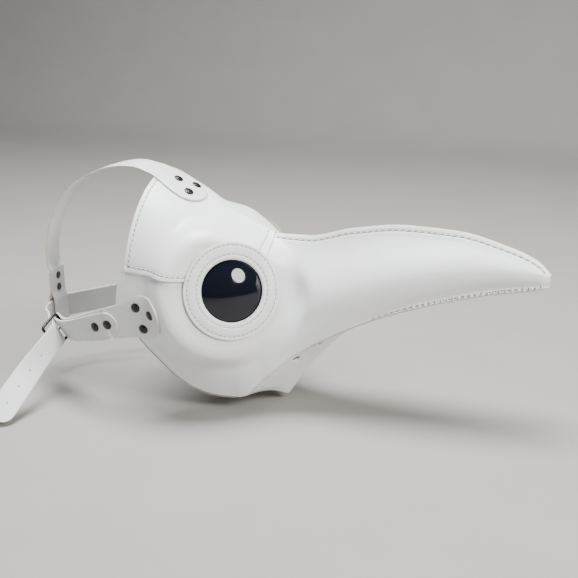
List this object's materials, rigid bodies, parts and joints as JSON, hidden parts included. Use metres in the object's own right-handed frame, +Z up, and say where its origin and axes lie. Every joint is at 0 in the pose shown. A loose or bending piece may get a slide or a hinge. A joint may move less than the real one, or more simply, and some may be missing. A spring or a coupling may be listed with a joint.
{
  "type": "plague doctor mask",
  "caption": "White leather half mask with a long drooping beak, round smoked lenses, underside vents and a riveted head harness that closes with a frame buckle.",
  "frame": {"origin": "middle of the wearer's head at eye level, where the head holds the mask", "axes": "+X forward along the beak, +Y to the wearer's left, +Z up"},
  "size_m": [0.52, 0.2508, 0.2355],
  "materials": {
    "white_leather": "satin, fine pebble grain, cream cut edges and white saddle stitching",
    "lining_leather": "undyed flesh side, matt",
    "smoked_lens": "polished, nearly black smoked lens",
    "blackened_metal": "blackened steel, worn at the crowns"
  },
  "bodies": {
    "mask": {"side_panel_right": "white_leather", "side_panel_left": "white_leather", "eye_ring_right": "white_leather", "eye_ring_left": "white_leather", "forehead_panel": "white_leather", "beak_gusset": "white_leather", "buckle_tab": "white_leather", "crown_strap": "white_leather", "rear_strap": "white_leather", "lens_right": "smoked_lens", "eye_backing_right": "lining_leather", "cheek_rivet_right_1": "blackened_metal", "cheek_rivet_right_2": "blackened_metal", "cheek_rivet_right_3": "blackened_metal", "lens_left": "smoked_lens", "eye_backing_left": "lining_leather", "cheek_rivet_left_1": "blackened_metal", "cheek_rivet_left_2": "blackened_metal", "cheek_rivet_left_3": "blackened_metal", "crown_rivet_1": "blackened_metal", "crown_rivet_2": "blackened_metal", "crown_rivet_3": "blackened_metal", "flap_rivet_1": "blackened_metal", "flap_rivet_2": "blackened_metal", "crown_loop_rivet_1": "blackened_metal", "crown_loop_rivet_2": "blackened_metal"},
    "buckle": {"buckle_frame": "blackened_metal"},
    "prong": {"buckle_prong": "blackened_metal"},
    "free_end": {"strap_tail": "white_leather"}
  },
  "joints": [
    {"name": "buckle_swing", "type": "hinge", "parent": "mask", "child": "buckle", "pos_m": [-0.064, -0.04502, -0.056], "axis": [0.2396, 0.4153, -0.8776], "range_deg": [-1, 25]},
    {"name": "prong_lift", "type": "hinge", "parent": "buckle", "child": "prong", "pos_m": [-0.064, -0.04502, -0.056], "axis": [0.2396, 0.4153, -0.8776], "range_deg": [-2, 0]},
    {"name": "free_end_flex", "type": "hinge", "parent": "mask", "child": "free_end", "pos_m": [-0.06171, -0.06669, -0.06563], "axis": [0.2396, 0.4153, -0.8776], "range_deg": [-45, 15], "stiffness_Nm_per_rad": 0.02}
  ]
}
